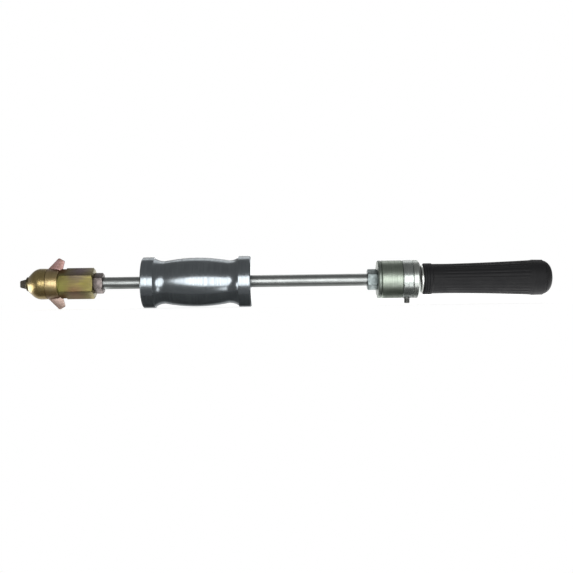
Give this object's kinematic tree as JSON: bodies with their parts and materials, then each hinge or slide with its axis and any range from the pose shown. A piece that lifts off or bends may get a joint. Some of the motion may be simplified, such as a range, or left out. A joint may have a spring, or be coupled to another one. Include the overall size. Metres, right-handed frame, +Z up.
{
  "type": "slide hammer puller",
  "caption": "Hand slide hammer for pulling dents: star tip in a screw chuck, round rod with a sliding steel weight, cable terminal and rubber handle.",
  "frame": {"origin": "centre of the blunt end of the star's working point, where the tool is welded to the sheet", "axes": "+X along the rod from the working point to the handle, +Z up, opposite to the cable stud, which points along -Z; the star's plate lies in the XZ plane"},
  "size_m": [0.5295, 0.051, 0.0512],
  "materials": {
    "copper_plated_steel": "copper flashed steel, satin, sooty at the working point",
    "yellow_zinc_cap": "turned steel, yellow passivated zinc, semi bright",
    "yellow_zinc_chuck": "milled steel, olive yellow passivated zinc with faint iridescence",
    "hardened_steel": "oil blacked steel, satin",
    "grey_zinc_nuts": "zinc plated steel, satin",
    "ground_steel_rod": "ground and polished steel",
    "polished_weight": "turned and polished steel, bright plated",
    "nylon": "natural nylon",
    "bright_zinc_rings": "turned steel, bright zinc",
    "green_zinc_body": "turned steel, clear passivated zinc with a green cast",
    "chromed_ring": "turned and plated steel, bright",
    "dark_stud": "blackened steel stud",
    "fibre": "black insulating fibre",
    "aluminium_core": "drawn aluminium tube",
    "grip_rubber": "moulded black rubber, matte"
  },
  "bodies": {
    "shaft": {"star_bit": "copper_plated_steel", "chuck_body": "yellow_zinc_chuck", "front_lock_nut": "grey_zinc_nuts", "rod": "ground_steel_rod", "rear_stop_nut": "grey_zinc_nuts", "striker_plate": "bright_zinc_rings", "terminal_body": "green_zinc_body", "contact_ring": "chromed_ring", "terminal_stud": "dark_stud", "clamp_ring": "bright_zinc_rings", "insulating_washer": "fibre", "handle_washer": "bright_zinc_rings", "insulating_sleeve": "nylon", "handle_core": "aluminium_core", "grip_sleeve": "grip_rubber", "end_insulating_washer": "fibre", "end_washer": "grey_zinc_nuts", "end_nut": "grey_zinc_nuts"},
    "liner": {"weight_liner": "nylon"},
    "weight": {"hammer_weight": "polished_weight", "liner_circlip": "hardened_steel"},
    "clamp": {"clamp_cone": "hardened_steel"},
    "cap": {"nose_cap": "yellow_zinc_cap"}
  },
  "joints": [
    {"name": "weight_slide", "type": "slide", "parent": "shaft", "child": "liner", "axis": [1, 0, 0], "range_m": [-0.039, 0.115]},
    {"name": "weight_spin", "type": "hinge", "parent": "liner", "child": "weight", "pos_m": [0.17701, 0, 0], "axis": [1, 0, 0], "continuous": true},
    {"name": "nose_advance", "type": "slide", "parent": "shaft", "child": "clamp", "axis": [-1, 0, 0], "range_m": [0, 0.006]},
    {"name": "nose_turn", "type": "hinge", "parent": "clamp", "child": "cap", "pos_m": [0.018, 0, 0], "axis": [-1, 0, 0], "range_deg": [0, 1440]}
  ],
  "couplings": [
    {"joint": "nose_turn", "follows": "nose_advance", "rad_per_m": 4188.8}
  ]
}
